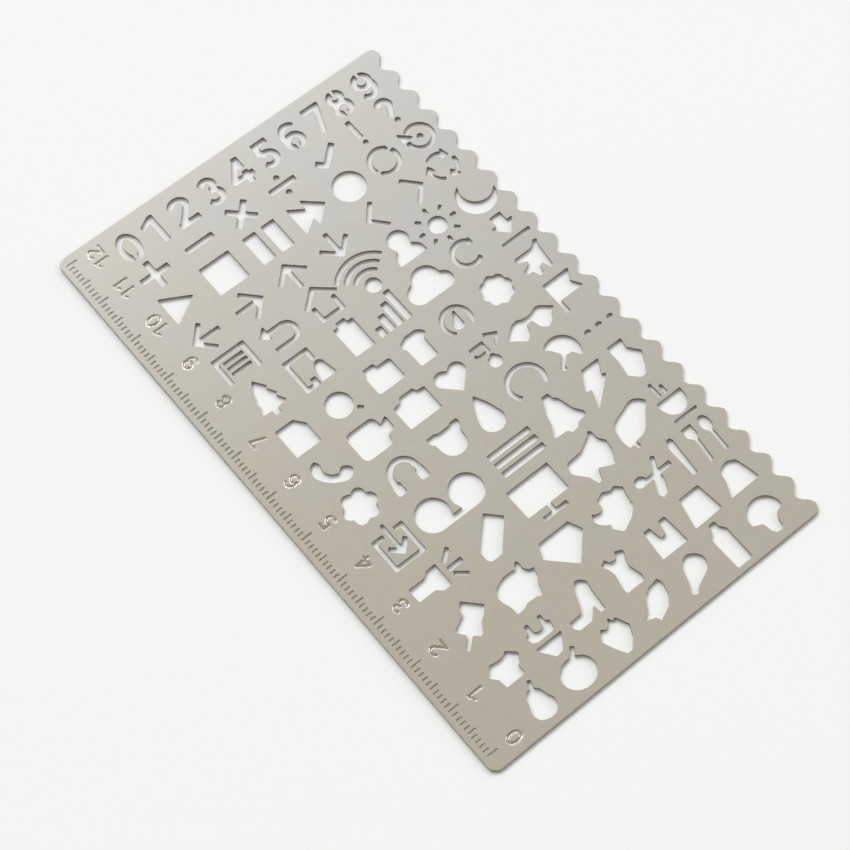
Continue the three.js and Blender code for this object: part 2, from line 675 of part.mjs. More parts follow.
// Rows of symbols from the far end of the scale to its zero: the height of each row, then its symbols with
// their places across the sheet and, where one sits off its row, how far
const cutDigits = drawDigits(bold, bridge);
const digitPlaces = [12.45, 18.65, 24.55, 31.5, 37.85, 44.35, 50.35, 56.65, 62, 68.2];
const rows = [
  [119.05, ...cutDigits.map((digit, value) => [digit, digitPlaces[value]])],
  [111.6, [plus, 12.8], [minus, 23], [times, 32.7], [divide, 42.4], [tick, 52.6], [exclamation, 60.35],
    [question, 68]],
  [103.7, [play, 12.75], [square, 22.75], [pause, 33], [fastForward, 42.95], [fullDisc, 51.95],
    [refresh, 60.5], [restore, 69.1]],
  [95.35, [arrowLeft, 12.2], [arrowRight, 22.3], [arrowUp, 32], [arrowDown, 41.95], [chevronLeft, 51.2],
    [chevronRight, 61.4], [recycle, 68.25, 0.55]],
  [87.2, [list, 13.3], [undo, 23], [home, 33], [wireless, 42.3], [user, 51.7], [sun, 59.45, -0.6],
    [crescent, 69]],
  [78.6, [tree, 13.1], [noticeboard, 22.7], [battery, 32.9], [signalBars, 40.3], [cloud, 50.05],
    [redo, 59.7], [download, 68.9]],
  [69.2, [document, 12.95], [magnifier, 22.6], [folder, 32.2], [shirt, 40.75], [gauge, 49.4],
    [rosette, 59.2], [plane, 68.3]],
  [60.5, [handset, 13.4], [videoCamera, 23.1], [camera, 32.8], [heart, 41.4], [shapes, 50.6],
    [sunglasses, 59.7], [flag, 69.1]],
  [51.7, [flower, 13], [headphones, 23], [pot, 33.35], [drop, 41.6], [loop, 51.1], [umbrella, 60.2],
    [dots, 68.8]],
  [42.7, [saveBox, 13.5], [reels, 25.5], [lines, 40.9], [bell, 51.6], [bolt, 60.5], [sock, 68.6]],
  [32.8, [torch, 15], [tag, 27.4], [monitor, 38.9], [megaphone, 50], [leaf, 60.9], [drink, 68.8]],
  [23, [pushpin, 14.3], [moneyBox, 24.6], [diamond, 35.7], [palette, 46.7], [scissors, 56.7], [knife, 62.8],
    [fork, 67], [spoon, 70.4]],
  [13.3, [tee, 13.5], [bikini, 22.3], [heelShoe, 30.7], [dress, 40.5], [tankTop, 50.1], [skirt, 58.6],
    [bellSkirt, 67.4]],
  [4.9, [pear, 14.1], [roundFruit, 22.5], [strawberry, 32], [fish, 40.8], [drumstick, 49.9], [bottle, 57.9],
    [mushroom, 66.8]],
];

// Solids

function toManifold(geometry) {
  geometry.deleteAttribute('normal');
  geometry.deleteAttribute('uv');
  const merged = mergeVertices(geometry);
  return new wasm.Manifold(new wasm.Mesh({
    numProp: 3,
    vertProperties: merged.attributes.position.array,
    triVerts: merged.index.array,
  }));
}

// Straight prism of an outline between two heights
function prism(outline, bottom, top) {
  const geometry = new THREE.ExtrudeGeometry(outline, { depth: top - bottom, bevelEnabled: false });
  return geometry.translate(0, 0, bottom);
}

const joined = (solids) => solids.reduce((sum, solid) => sum.add(solid));

// A drawn symbol as a cutter that reaches from above the sheet down to a given height
function cutterOf({ cut, keep, turn }, x, y, scale, bottom) {
  const placed = new THREE.Matrix4()
    .makeTranslation(x, y, 0)
    .multiply(new THREE.Matrix4().makeRotationZ(radians(turn)))
    .scale(new THREE.Vector3(scale, scale, 1));
  const solid = (outline) =>
    toManifold(prism(outline, bottom, sheetThickness + cutterReach).applyMatrix4(placed));
  const cutter = joined(cut.map(solid));
  return keep.length ? cutter.subtract(joined(keep.map(solid))) : cutter;
}

// A symbol cut through the sheet, fitted to its place in the field
function symbolCutter(drawn, across, along) {
  const place = new THREE.Vector2(across, along).sub(drawnField.min).multiply(spread).add(field.min);
  return cutterOf(drawn, place.x, place.y, symbolScale, -cutterReach);
}

// Outline of the sheet: straight ruled edge, round corners, and waves between two crests
function sheetOutline() {
  const waveCount = Math.floor((sheetLength - 2 * waveEndLand) / wavePitch);
  const waveStart = (sheetLength - waveCount * wavePitch) / 2;
  const chordsPerWave = 8;
  const waves = Array.from({ length: waveCount * chordsPerWave - 1 }, (_, i) => {
    const turns = (i + 1) / chordsPerWave;
    const inset = (waveDepth * (1 - Math.cos(2 * Math.PI * turns))) / 2;
    return [sheetWidth - inset, waveStart + turns * wavePitch];
  });
  const corner = (x, y, radius, from) => arc(x, y, radius, radius, from, from + 90);
  return polygon(
    ...corner(cornerRadius, cornerRadius, cornerRadius, 180),
    ...corner(sheetWidth - waveStart, waveStart, waveStart, 270),
    ...waves,
    ...corner(sheetWidth - waveStart, sheetLength - waveStart, waveStart, 0),
    ...corner(cornerRadius, sheetLength - cornerRadius, cornerRadius, 90),
  );
}

// Etched ticks of the scale, longer at every fifth and tenth millimetre
function tickCutters() {
  const count = Math.floor((sheetLength - scaleStart - scaleEndMargin) / tickPitch) + 1;
  return Array.from({ length: count }, (_, i) => {
    const length = i % 10 === 0 ? longTick : i % 5 === 0 ? middleTick : shortTick;
    const outline = box(tickInset, -tickWidth / 2, tickInset + length, tickWidth / 2);
    return cutterOf(symbol([outline]), 0, scaleStart + i * tickPitch, 1, sheetThickness - etchDepth);
  });
}

// Etched numerals, one at every tenth tick, read along the sheet with their tops to the ruled edge
function numeralCutters() {
  const drawnOne = new THREE.Box2().setFromPoints(cutDigits[1].cut[0].getPoints());
  const scale = numeralHeight / (drawnOne.max.y - drawnOne.min.y);
  const digits = drawDigits(numeralStroke / scale, 0).map((drawn) => turned({ ...drawn, keep: [] }, 90));
  const last = Math.floor((sheetLength - scaleStart - scaleEndMargin) / (10 * tickPitch));
  return Array.from({ length: last + 1 }, (_, value) => [...String(value)]).flatMap((text, value) => {
    const halfWidth = ((text.length - 1) * numeralPitch + numeralHeight * 0.7) / 2;
    const atTick = scaleStart + 10 * value * tickPitch - numeralLag;
    const middle = Math.min(atTick, sheetLength - numeralEndMargin - halfWidth);
    return text.map((character, i) => {
      const y = middle + (i - (text.length - 1) / 2) * numeralPitch;
      return cutterOf(digits[Number(character)], numeralInset, y, scale, sheetThickness - etchDepth);
    });
  });
}

function templatePlate() {
  const blank = toManifold(prism(sheetOutline(), 0, sheetThickness));
  const symbols = rows.flatMap(([row, ...placed]) =>
    placed.map(([drawn, across, offRow = 0]) => symbolCutter(drawn, across, row + offRow)),
  );
  const cutters = joined([...symbols, ...tickCutters(), ...numeralCutters()]);
  const { vertProperties, triVerts } = blank.subtract(cutters).getMesh();
  const geometry = new THREE.BufferGeometry();
  geometry.setAttribute('position', new THREE.BufferAttribute(vertProperties, 3));
  geometry.setIndex(new THREE.BufferAttribute(triVerts, 1));
  geometry.computeVertexNormals();
  const steel = new THREE.MeshStandardMaterial({ color: 0xbbb8b0, roughness: 0.42, metalness: 0.9 });
  const mesh = new THREE.Mesh(geometry, steel);
  mesh.name = 'template_plate';
  mesh.position.set(-sheetWidth / 2, -sheetLength / 2, 0);
  return mesh;
}

const template = new THREE.Group();
template.add(templatePlate());

export default template;
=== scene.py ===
# Steel drawing template with rows of cut-through symbols, lying on white paper
import math

import bpy
import numpy as np
from mathutils import Matrix, Quaternion, Vector
from mathutils.geometry import delaunay_2d_cdt


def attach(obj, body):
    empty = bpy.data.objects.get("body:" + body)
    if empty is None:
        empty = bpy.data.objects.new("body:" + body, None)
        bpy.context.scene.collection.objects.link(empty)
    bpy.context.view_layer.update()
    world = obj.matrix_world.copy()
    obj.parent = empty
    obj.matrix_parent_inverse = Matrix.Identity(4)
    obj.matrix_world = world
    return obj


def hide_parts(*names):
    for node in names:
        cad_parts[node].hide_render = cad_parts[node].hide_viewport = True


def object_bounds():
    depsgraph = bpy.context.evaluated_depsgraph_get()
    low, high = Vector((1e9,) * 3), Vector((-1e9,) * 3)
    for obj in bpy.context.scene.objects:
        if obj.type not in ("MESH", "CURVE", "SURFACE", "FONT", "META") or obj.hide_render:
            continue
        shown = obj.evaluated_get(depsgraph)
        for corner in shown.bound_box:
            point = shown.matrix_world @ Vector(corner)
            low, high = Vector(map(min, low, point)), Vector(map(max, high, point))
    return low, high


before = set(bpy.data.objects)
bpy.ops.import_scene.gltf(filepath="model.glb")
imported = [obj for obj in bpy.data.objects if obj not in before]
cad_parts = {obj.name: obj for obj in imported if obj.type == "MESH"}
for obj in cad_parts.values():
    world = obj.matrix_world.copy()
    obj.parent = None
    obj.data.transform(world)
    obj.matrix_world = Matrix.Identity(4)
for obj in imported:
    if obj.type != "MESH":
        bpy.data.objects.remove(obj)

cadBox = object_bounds()
print("frame loaded")

perMetre = 1000.0        # millimetres in a metre: the sheet and its finish are worked out in millimetres
tiny = 1e-6              # less than any size or turn that matters here


# Node trees: a signal is one output socket, and arithmetic on it adds Math nodes
class Signal:
    def __init__(self, tree, socket):
        self.tree, self.socket = tree, socket

    def math(self, operation, *values):
        return node(self.tree, "ShaderNodeMath", {"operation": operation}, dict(enumerate(values)))

    def __add__(self, other):
        return self.math("ADD", self, other)

    def __sub__(self, other):
        return self.math("SUBTRACT", self, other)

    def __rsub__(self, other):
        return self.math("SUBTRACT", other, self)

    def __mul__(self, other):
        return self.math("MULTIPLY", self, other)

    def __abs__(self):
        return self.math("ABSOLUTE", self)

    __radd__, __rmul__ = __add__, __mul__

    # Rises smoothly from 0 to 1 between two values, or falls where the first is the higher
    def between(self, low, high):
        sockets = {"Value": self, "From Min": low, "From Max": high}
        return node(self.tree, "ShaderNodeMapRange", {"interpolation_type": "SMOOTHSTEP"}, sockets)


# Adds any node: its settings first, then its sockets' values or links
def node(tree, kind, settings={}, sockets={}, output=0):
    made = tree.nodes.new(kind)
    for name, value in settings.items():
        setattr(made, name, value)
    for name, value in sockets.items():
        if isinstance(value, Signal):
            tree.links.new(value.socket, made.inputs[name])
        else:
            made.inputs[name].default_value = value
    return Signal(tree, made.outputs[output]) if len(made.outputs) else None


def mixColours(tree, share, first, second, blend="MIX"):
    # A Mix node on colours has them on its sockets 6 and 7, and gives the result on its output 2
    settings = {"data_type": "RGBA", "blend_type": blend}
    return node(tree, "ShaderNodeMix", settings, {0: share, 6: first, 7: second}, 2)


def axisOf(vector, axis):
    return node(vector.tree, "ShaderNodeSeparateXYZ", {}, {0: vector}, axis)


def noise(tree, place, look):
    sockets = {"Vector": place, "Scale": 1 / look["size"],
               "Detail": look["detail"], "Roughness": look["roughness"]}
    return node(tree, "ShaderNodeTexNoise", {}, sockets)


def emptyTree(owner):
    owner.use_nodes = True
    owner.node_tree.nodes.clear()
    return owner.node_tree


# Satin steel: colours are linear, sizes in millimetres
satinSteel = {
    "pale": (0.364, 0.363, 0.346, 1),
    "warm": (0.376, 0.350, 0.296, 1),
    # cut walls are darker than the face: partly the duller tone of an etched wall, partly painted shade
    "wallToneAndShade": (0.27, 0.25, 0.21, 1),
    "etched": (0.50, 0.48, 0.43, 1),
    "wornEdge": (0.50, 0.48, 0.435, 1),
    "wearShare": 0.7,

    # Soft patches in the colour, an uneven matt finish and a blasted grain
    "clouds": {"size": 16, "detail": 3, "roughness": 0.6},
    "mottle": {"size": 1.3, "detail": 4, "roughness": 0.65},
    "grain": {"size": 0.12, "detail": 2, "roughness": 0.7},

    # Hairlines left by wiping and handling, peaks of a noise that is stretched in two directions:
    # each direction's turn, in radians, and the noise's scale along it
    "hairlines": ((0.35, 0.05), (1.9, 0.035)),
    "hairlinesAcross": 7,
    "hairlineNoise": {"size": 1, "detail": 1, "roughness": 0.4},
    "hairlinePeaks": (0.67, 0.74),

    # Colour: pale at the far wavy corner and warm at the zero corner, a painted reflection of the warmer room
    # behind the camera, with random clouds of both
    "warmFrom": 75,                 # where along and across add up to this, the pale corner ends
    "paintedWarmReflection": 0.85,
    "clouding": 0.3,
    "cloudSpan": (0.35, 0.65),
    "middleShade": 0.47,
    "mottleShade": 0.16,
    "grainShade": 0.1,
    # painted reflection: both ends stand for a brighter room reflected there than over the middle
    "paintedPalerEnds": 0.1,               # both ends of the sheet are a little paler than its middle
    "shadeShare": 0.6,

    # Gloss and relief
    "metal": 0.7,
    "etchedMetal": 1.0,
    "matt": 0.55,
    "etchedMatt": 0.16,
    "wallMatt": 0.62,
    "edgeMatt": 0.45,
    "mottleMatt": 0.06,
    "grainMatt": 0.12,
    "hairlineGloss": 0.05,
    "mottleRelief": 0.5,
    "hairlineRelief": 0.35,
    "reliefDepth": 0.0035,
    "reliefStrength": 0.35,

    # Where a finish starts and where it is full. Flatness is 0 on a wall and 1 on a level face, depth
    # is measured down from the upper face, and height up from the underside
    "wallFlatness": (0.5, 0.25),
    "grooveFlatness": (0.3, 0.55),
    "grooveDepth": (0.02, 0.06),
    "grooveHeight": (0.05, 0.1),
    "edgeFlatness": (0.45, 0.75),
    "edgeTilt": (0.998, 0.96),
    "edgeDepth": (0.06, 0.03),
}


def satinSteelMaterial(look, thickness, halfLength):
    material = bpy.data.materials.new("satinSteel")
    tree = emptyTree(material)
    place = node(tree, "ShaderNodeTexCoord", output=3)
    place = node(tree, "ShaderNodeMapping", {}, {"Vector": place, "Scale": (perMetre, perMetre, perMetre)})
    across, along, height = (axisOf(place, axis) for axis in range(3))
    flatness = abs(axisOf(node(tree, "ShaderNodeNewGeometry", output=1), 2))
    depth = thickness - height

    # Where the sheet is cut wall, etched groove or worn edge
    wall = flatness.between(*look["wallFlatness"])
    groove = depth.between(*look["grooveDepth"]) * flatness.between(*look["grooveFlatness"])
    groove = groove * height.between(*look["grooveHeight"])
    edge = flatness.between(*look["edgeFlatness"]) * flatness.between(*look["edgeTilt"])
    edge = edge * depth.between(*look["edgeDepth"])

    clouds, mottle, grain = (noise(tree, place, look[name]) for name in ("clouds", "mottle", "grain"))
    mottled, grained = mottle - 0.5, grain - 0.5        # around 0
    lines = []
    for turn, stretch in look["hairlines"]:
        scale = (stretch, look["hairlinesAcross"], 1)
        sockets = {"Vector": place, "Rotation": (0, 0, turn), "Scale": scale}
        stretched = node(tree, "ShaderNodeMapping", {}, sockets)
        lines.append(noise(tree, stretched, look["hairlineNoise"]).between(*look["hairlinePeaks"]))
    hairlines = lines[0].math("MAXIMUM", *lines)

    # painted reflection: warmer towards the zero corner, plus random clouds of the warm colour
    paintedWarmthAndClouds = (along + across).between(look["warmFrom"], -look["warmFrom"]) * look["paintedWarmReflection"]
    paintedWarmthAndClouds = paintedWarmthAndClouds + clouds.between(*look["cloudSpan"]) * look["clouding"]
    colour = mixColours(tree, paintedWarmthAndClouds, look["pale"], look["warm"])
    shade = mottled * look["mottleShade"] + grained * look["grainShade"] + look["middleShade"]
    # painted reflection: paler towards both ends of the sheet
    shade = shade + along * along * (look["paintedPalerEnds"] / halfLength ** 2)
    grey = node(tree, "ShaderNodeCombineColor", {}, {0: shade, 1: shade, 2: shade})
    colour = mixColours(tree, look["shadeShare"], colour, grey, "SOFT_LIGHT")
    # groove, wall and edge colours laid over the face; the wall colour is partly painted shade
    for share, finish in ((groove, "etched"), (wall, "wallToneAndShade"), (edge * look["wearShare"], "wornEdge")):
        colour = mixColours(tree, share, colour, look[finish])

    matt = mottled * look["mottleMatt"] + grained * look["grainMatt"] + look["matt"]
    matt = matt - hairlines * look["hairlineGloss"]
    for share, finish in ((groove, "etchedMatt"), (wall, "wallMatt"), (edge, "edgeMatt")):
        matt = matt + share * (look[finish] - look["matt"])

    relief = grain + mottle * look["mottleRelief"] - hairlines * look["hairlineRelief"]
    distance = look["reliefDepth"] / perMetre
    sockets = {"Strength": look["reliefStrength"], "Distance": distance, "Height": relief}
    bump = node(tree, "ShaderNodeBump", {}, sockets)

    metal = groove * (look["etchedMetal"] - look["metal"]) + look["metal"]
    sockets = {"Base Color": colour, "Metallic": metal, "Roughness": matt, "Normal": bump}
    steel = node(tree, "ShaderNodeBsdfPrincipled", {}, sockets)
    node(tree, "ShaderNodeOutputMaterial", {}, {"Surface": steel})
    return material


# Sheet: sizes in millimetres, angles in degrees
etchedSheet = {
    "edgeRound": 0.045,      # worn rounding along every cut edge
    "outerRound": 0.13,      # smoother along the outside, where hands and pens run
    "edgeSteps": 2,          # steps from the face round to the wall
    "cornerRadius": 0.2,     # radius that etching leaves in a sharp corner, seen from above
    "cornerShare": 0.4,      # most of a side that its rounded corner takes
    "sharpestTurn": 177.6,   # a corner that turns further is cut back as if it turned this far
    "straightTurn": 1.72,    # a corner that turns less needs no round of its own
    "curveRise": 0.085,      # a side this close to its arc belongs to a curve
    "curveRatio": 1.8,       # neighbouring sides of one curve differ less than this
    "joinTurn": 26,          # a straight side runs on into a curve below this turn
    "notchTurn": 20,         # a corner that turns back further, between two others, is no curve
    "shortestSide": 0.12,    # a shorter side joins its neighbours
    "sideStep": 12,          # a curved side has a point for each turn of this much,
    "cornerStep": 30,        # and a rounded corner for each of this much
    "mitreLimit": 2,         # furthest that a mitred step reaches, for a step of 1
    "reachShare": 0.8,       # an outline moves at most this share of the radius that it turns round
    "reachSmoothing": 4,     # rounds that even the move out along the outline
    "crossingRoom": 0.3,     # the move is eased this far round a place where it would cross itself
    "crossingTries": 9,
    "grooveRim": 0.16,       # a numeral's side bends down from this far outside its edge
    "grooveReach": 0.16,     # to this far inside it
    "grooveDepth": 0.2,
    "tickRim": 0.04,         # the same for a tick's side
    "tickReach": 0.08,
    "tickDepth": 0.2,
    "tickArea": 0.8,         # an outline with less area than this, in square millimetres, is a tick
    "grooveSteps": 6,
    "gridPerMm": 1000,       # corners go on a grid this fine, and those that share a place are one point
}


def mergedCopy(source, look):
    # Corners that share a place become one point
    places = np.empty(len(source.vertices) * 3, np.float32)
    source.vertices.foreach_get("co", places)
    corners = np.empty(len(source.loops), np.int32)
    source.loops.foreach_get("vertex_index", corners)
    places = np.round(places.reshape(-1, 3) * (perMetre * look["gridPerMm"]))
    points, which = np.unique(places, axis=0, return_inverse=True)
    return points / look["gridPerMm"], which.ravel()[corners].reshape(-1, 3)


def patchOutlines(triangles):
    # The outline of a patch is made of the sides whose reverse no triangle of the patch has.
    # Each of its points looks one point ahead, then twice as far at every step, until it knows the
    # first point of its own loop and the way there. Loops come out one after the other, in order.
    starts, ends = triangles.ravel(), np.roll(triangles, -1, axis=1).ravel()
    size = triangles.max() + 1
    outer = ~np.isin(starts * size + ends, ends * size + starts)
    starts, ends = starts[outer], ends[outer]
    order = np.argsort(starts)
    points, ahead = starts[order], np.searchsorted(starts[order], ends[order])
    here = np.arange(len(points))
    steps = range(int(math.log2(len(points))) + 2)
    first, jump = here, ahead
    for _ in steps:
        first, jump = np.minimum(first, first[jump]), jump[jump]
    left = (first != here).astype(int)
    jump = np.where(left, ahead, here)
    for _ in steps:
        left, jump = left + left[jump], jump[jump]
    order = np.lexsort((np.where(left, -left, -len(points)), first))
    return points[order], np.unique(first[order], return_inverse=True)[1]


def neighbours(loop):
    # The point before and after each one, the last of a loop being followed by its first
    first = np.flatnonzero(np.r_[True, loop[1:] != loop[:-1]])
    last = np.r_[first[1:], len(loop)] - 1
    before, after = np.arange(len(loop)) - 1, np.arange(len(loop)) + 1
    before[first], after[last] = last, first
    return before, after


def turnBetween(heading, other):
    # The turn from one heading to the other, to the left or, below 0, to the right
    return (other - heading + math.pi) % (2 * math.pi) - math.pi


def unit(heading):
    return np.stack([np.cos(heading), np.sin(heading)], axis=1)


def loopAreas(points, loop):
    # Half the sum of the cross products of each point and the next, which is below 0 the other way round
    after = neighbours(loop)[1]
    return np.bincount(loop, points[:, 0] * points[after, 1] - points[after, 0] * points[:, 1]) / 2


def smoothOutlines(points, loop, radius, look):
    # Sides that lie close to one arc become that arc, and every other corner gets a small radius.
    # Both are cubic curves between two points with given headings, with handles as long as the
    # chord over three times the squared cosine of a quarter of the turn.
    after = neighbours(loop)[1]
    kept = np.hypot(*(points[after] - points).T) > look["shortestSide"]
    points, loop, radius = points[kept], loop[kept], radius[kept]
    before, after = neighbours(loop)
    side = points[after] - points
    length, heading = np.hypot(*side.T), np.arctan2(side[:, 1], side[:, 0])
    turn = turnBetween(heading[before], heading)
    longer, shorter = np.maximum(length, length[before]), np.minimum(length, length[before])

    # Corners on a curve, where neither side is much longer and the arc stays close to both, and
    # corners where a long side runs on into a curve. An arc's rise over its side is a quarter of the
    # sum of both sides times the tangent of a quarter of the turn
    rise = (longer + shorter) / 4 * np.tan(np.abs(turn) / 4)
    notch = (turn * turn[before] < 0) & (turn * turn[after] < 0)
    notch &= np.abs(turn) > math.radians(look["notchTurn"])
    curve = (rise < look["curveRise"]) & (longer < look["curveRatio"] * shorter) & ~notch
    join = (longer >= look["curveRatio"] * shorter) & (np.abs(turn) < math.radians(look["joinTurn"]))
    smooth = curve | join

    # A smooth corner shares its turn out between its two sides, and any other is cut back
    share = np.where(join, length > length[before], length[before] / (length[before] + length))
    arriving, leaving = turn * share * smooth, turn * (1 - share) * smooth
    startBend = np.where(smooth, leaving, arriving[after])
    endBend = np.where(smooth[after], arriving[after], leaving)
    headingIn, headingOut = (heading + endBend)[before], heading - startBend
    cornerTurn = np.where(smooth, 0, turnBetween(headingIn, headingOut))
    cut = np.tan(np.minimum(np.abs(cornerTurn), math.radians(look["sharpestTurn"])) / 2) * radius
    cut = np.minimum(cut, shorter * look["cornerShare"])[:, None]
    arrive, leave = points - cut * unit(headingIn), points + cut * unit(headingOut)

    # The pieces in order: each corner, then the side after it
    def inTurn(corner, side):
        return np.stack([corner, side], axis=1).reshape(2 * len(points), -1).squeeze()

    start, end = inTurn(arrive, leave), inTurn(leave, arrive[after])
    startHeading, endHeading = inTurn(headingIn, headingOut), inTurn(headingOut, headingIn[after])
    cornerCount = np.ceil(np.abs(cornerTurn) / math.radians(look["cornerStep"])) + 1
    cornerCount[np.abs(cornerTurn) < math.radians(look["straightTurn"])] = 0
    sideCount = np.ceil((np.abs(startBend) + np.abs(endBend)) / math.radians(look["sideStep"]))
    count = inTurn(cornerCount, np.maximum(sideCount, 1)).astype(int)

    piece = np.repeat(np.arange(len(count)), count)
    u = ((np.arange(len(piece)) - (np.cumsum(count) - count)[piece]) / count[piece])[:, None]
    chord = end - start
    span, way = np.hypot(*chord.T), np.arctan2(chord[:, 1], chord[:, 0])
    lean = (np.abs(turnBetween(way, startHeading)) + np.abs(turnBetween(way, endHeading))) / 2
    handle = (span / (3 * np.cos(lean / 2) ** 2))[:, None]
    near, far = (start + handle * unit(startHeading))[piece], (end - handle * unit(endHeading))[piece]
    start, end = start[piece], end[piece]
    curved = start * (1 - u) ** 3 + 3 * near * u * (1 - u) ** 2 + 3 * far * u ** 2 * (1 - u) + end * u ** 3
    return curved, loop[piece // 2]


def intoMetal(points, loop, look):
    # Directions to the left of each outline, where the metal is, mitred so that a step along them
    # moves both sides alike, and the radius where the outline turns to the metal and to the hole
    before, after = neighbours(loop)
    side = points[after] - points
    length, heading = np.hypot(*side.T), np.arctan2(side[:, 1], side[:, 0])
    normal = np.stack([-side[:, 1], side[:, 0]], axis=1) / length[:, None]
    both = normal + normal[before]
    mitre = both / np.maximum((both ** 2).sum(axis=1, keepdims=True) / 2, 2 / look["mitreLimit"] ** 2)
    turn, width = turnBetween(heading[before], heading), (length + length[before]) / 2
    return mitre, width / np.maximum(turn, tiny), width / np.maximum(-turn, tiny)


def triangulated(points, loop):
    # Triangles between the outlines, with the outlines that each one lies in
    loop = np.unique(loop, return_inverse=True)[1]
    insideOnly = 1
    outlines = np.split(np.arange(len(points)), np.flatnonzero(loop[1:] != loop[:-1]) + 1)
    areas = loopAreas(points, loop)
    outlines = [(own if area > 0 else own[::-1]).tolist() for own, area in zip(outlines, areas)]
    return delaunay_2d_cdt([Vector(p) for p in points.tolist()], [], outlines, insideOnly, tiny, True)


def clearReach(points, loop, direction, wanted, radius, look):
    # How far the outline moves along its directions: as far as wanted, less where it turns tightly,
    # and half of that again near each place where the moved outline would still cross itself
    before, after = neighbours(loop)
    reach = np.minimum(wanted, look["reachShare"] * radius)
    for _ in range(look["reachSmoothing"]):
        reach = np.minimum(reach, (reach[before] + 2 * reach + reach[after]) / 4)
    for _ in range(look["crossingTries"]):
        found = triangulated(points + direction * reach[:, None], loop)
        crossed = np.array([p[:2] for p, own in zip(found[0], found[3]) if len(own) != 1]).reshape(-1, 2)
        if not len(crossed):
            break
        away = np.hypot(*(points[:, None] - crossed[None]).transpose(2, 0, 1)).min(axis=1)
        reach = np.where(away < look["crossingRoom"], reach / 2, reach)
    return reach[:, None]


def sweep(points, loop, shifts, heights):
    # The outline carried down a profile: ring after ring, each shifted and set at its heights, with
    # quads that face the hole between every two rings
    after, here = neighbours(loop)[1], np.arange(len(points))
    rings = [np.c_[points + shift, height] for shift, height in zip(shifts, heights)]
    level = len(points) * np.arange(len(rings) - 1)[:, None]
    below = level + len(points)
    quads = np.stack([here + level, here + below, after + below, after + level], axis=2)
    return np.concatenate(rings), quads.reshape(-1, 4)


def cutWalls(points, loop, rim, rounding, thickness, look):
    # Cut edges are round above and below: a quarter circle in from the face, the small one below
    arc = np.linspace(0, math.pi / 2, look["edgeSteps"] + 1)
    drops, shifts = np.outer(1 - np.cos(arc), rounding), (1 - np.sin(arc))[:, None, None] * rim
    lower = look["edgeRound"] / rounding
    shifts = np.concatenate([shifts, shifts[::-1] * lower[:, None]])
    return sweep(points, loop, shifts, np.concatenate([thickness - drops, drops[::-1] * lower]))


def grooveSides(points, loop, rim, bowl, depth, thickness, look):
    # A groove's side is half a wave: it falls by (1 - cos(pi s)) / 2 of the depth over its width s,
    # from the rim outside the outline to the bowl inside it
    s = np.linspace(0, 1, look["grooveSteps"] + 1)
    shifts = np.maximum(1 - 2 * s, 0)[:, None, None] * rim + np.maximum(2 * s - 1, 0)[:, None, None] * bowl
    return sweep(points, loop, shifts, thickness - np.outer((1 - np.cos(math.pi * s)) / 2, depth))


def fillFlat(points, loop):
    # Triangles over what lies inside an odd number of the outlines
    filled = triangulated(points, loop)
    assert len(filled[0]) == len(points), "the outlines of a flat face cross"
    inside = np.fromiter(map(len, filled[5]), int) % 2 == 1
    return np.array(filled[3]).ravel()[np.array(filled[2])[inside]]


def meshObject(name, vertices, quads, triangles):
    # Smooth quads, then flat triangles
    mesh = bpy.data.meshes.new(name)
    sizes = np.r_[np.full(len(quads), 4), np.full(len(triangles), 3)]
    mesh.vertices.add(len(vertices))
    mesh.vertices.foreach_set("co", vertices.ravel() / perMetre)
    mesh.loops.add(sizes.sum())
    mesh.loops.foreach_set("vertex_index", np.r_[quads.ravel(), triangles.ravel()].astype(np.int32))
    mesh.polygons.add(len(sizes))
    mesh.polygons.foreach_set("loop_start", (np.cumsum(sizes) - sizes).astype(np.int32))
    mesh.polygons.foreach_set("use_smooth", sizes == 4)
    mesh.update(calc_edges=True)
    made = bpy.data.objects.new(name, mesh)
    bpy.context.scene.collection.objects.link(made)
    print(name, "has", (sizes - 2).sum(), "triangles, put right:", mesh.validate())
    return made


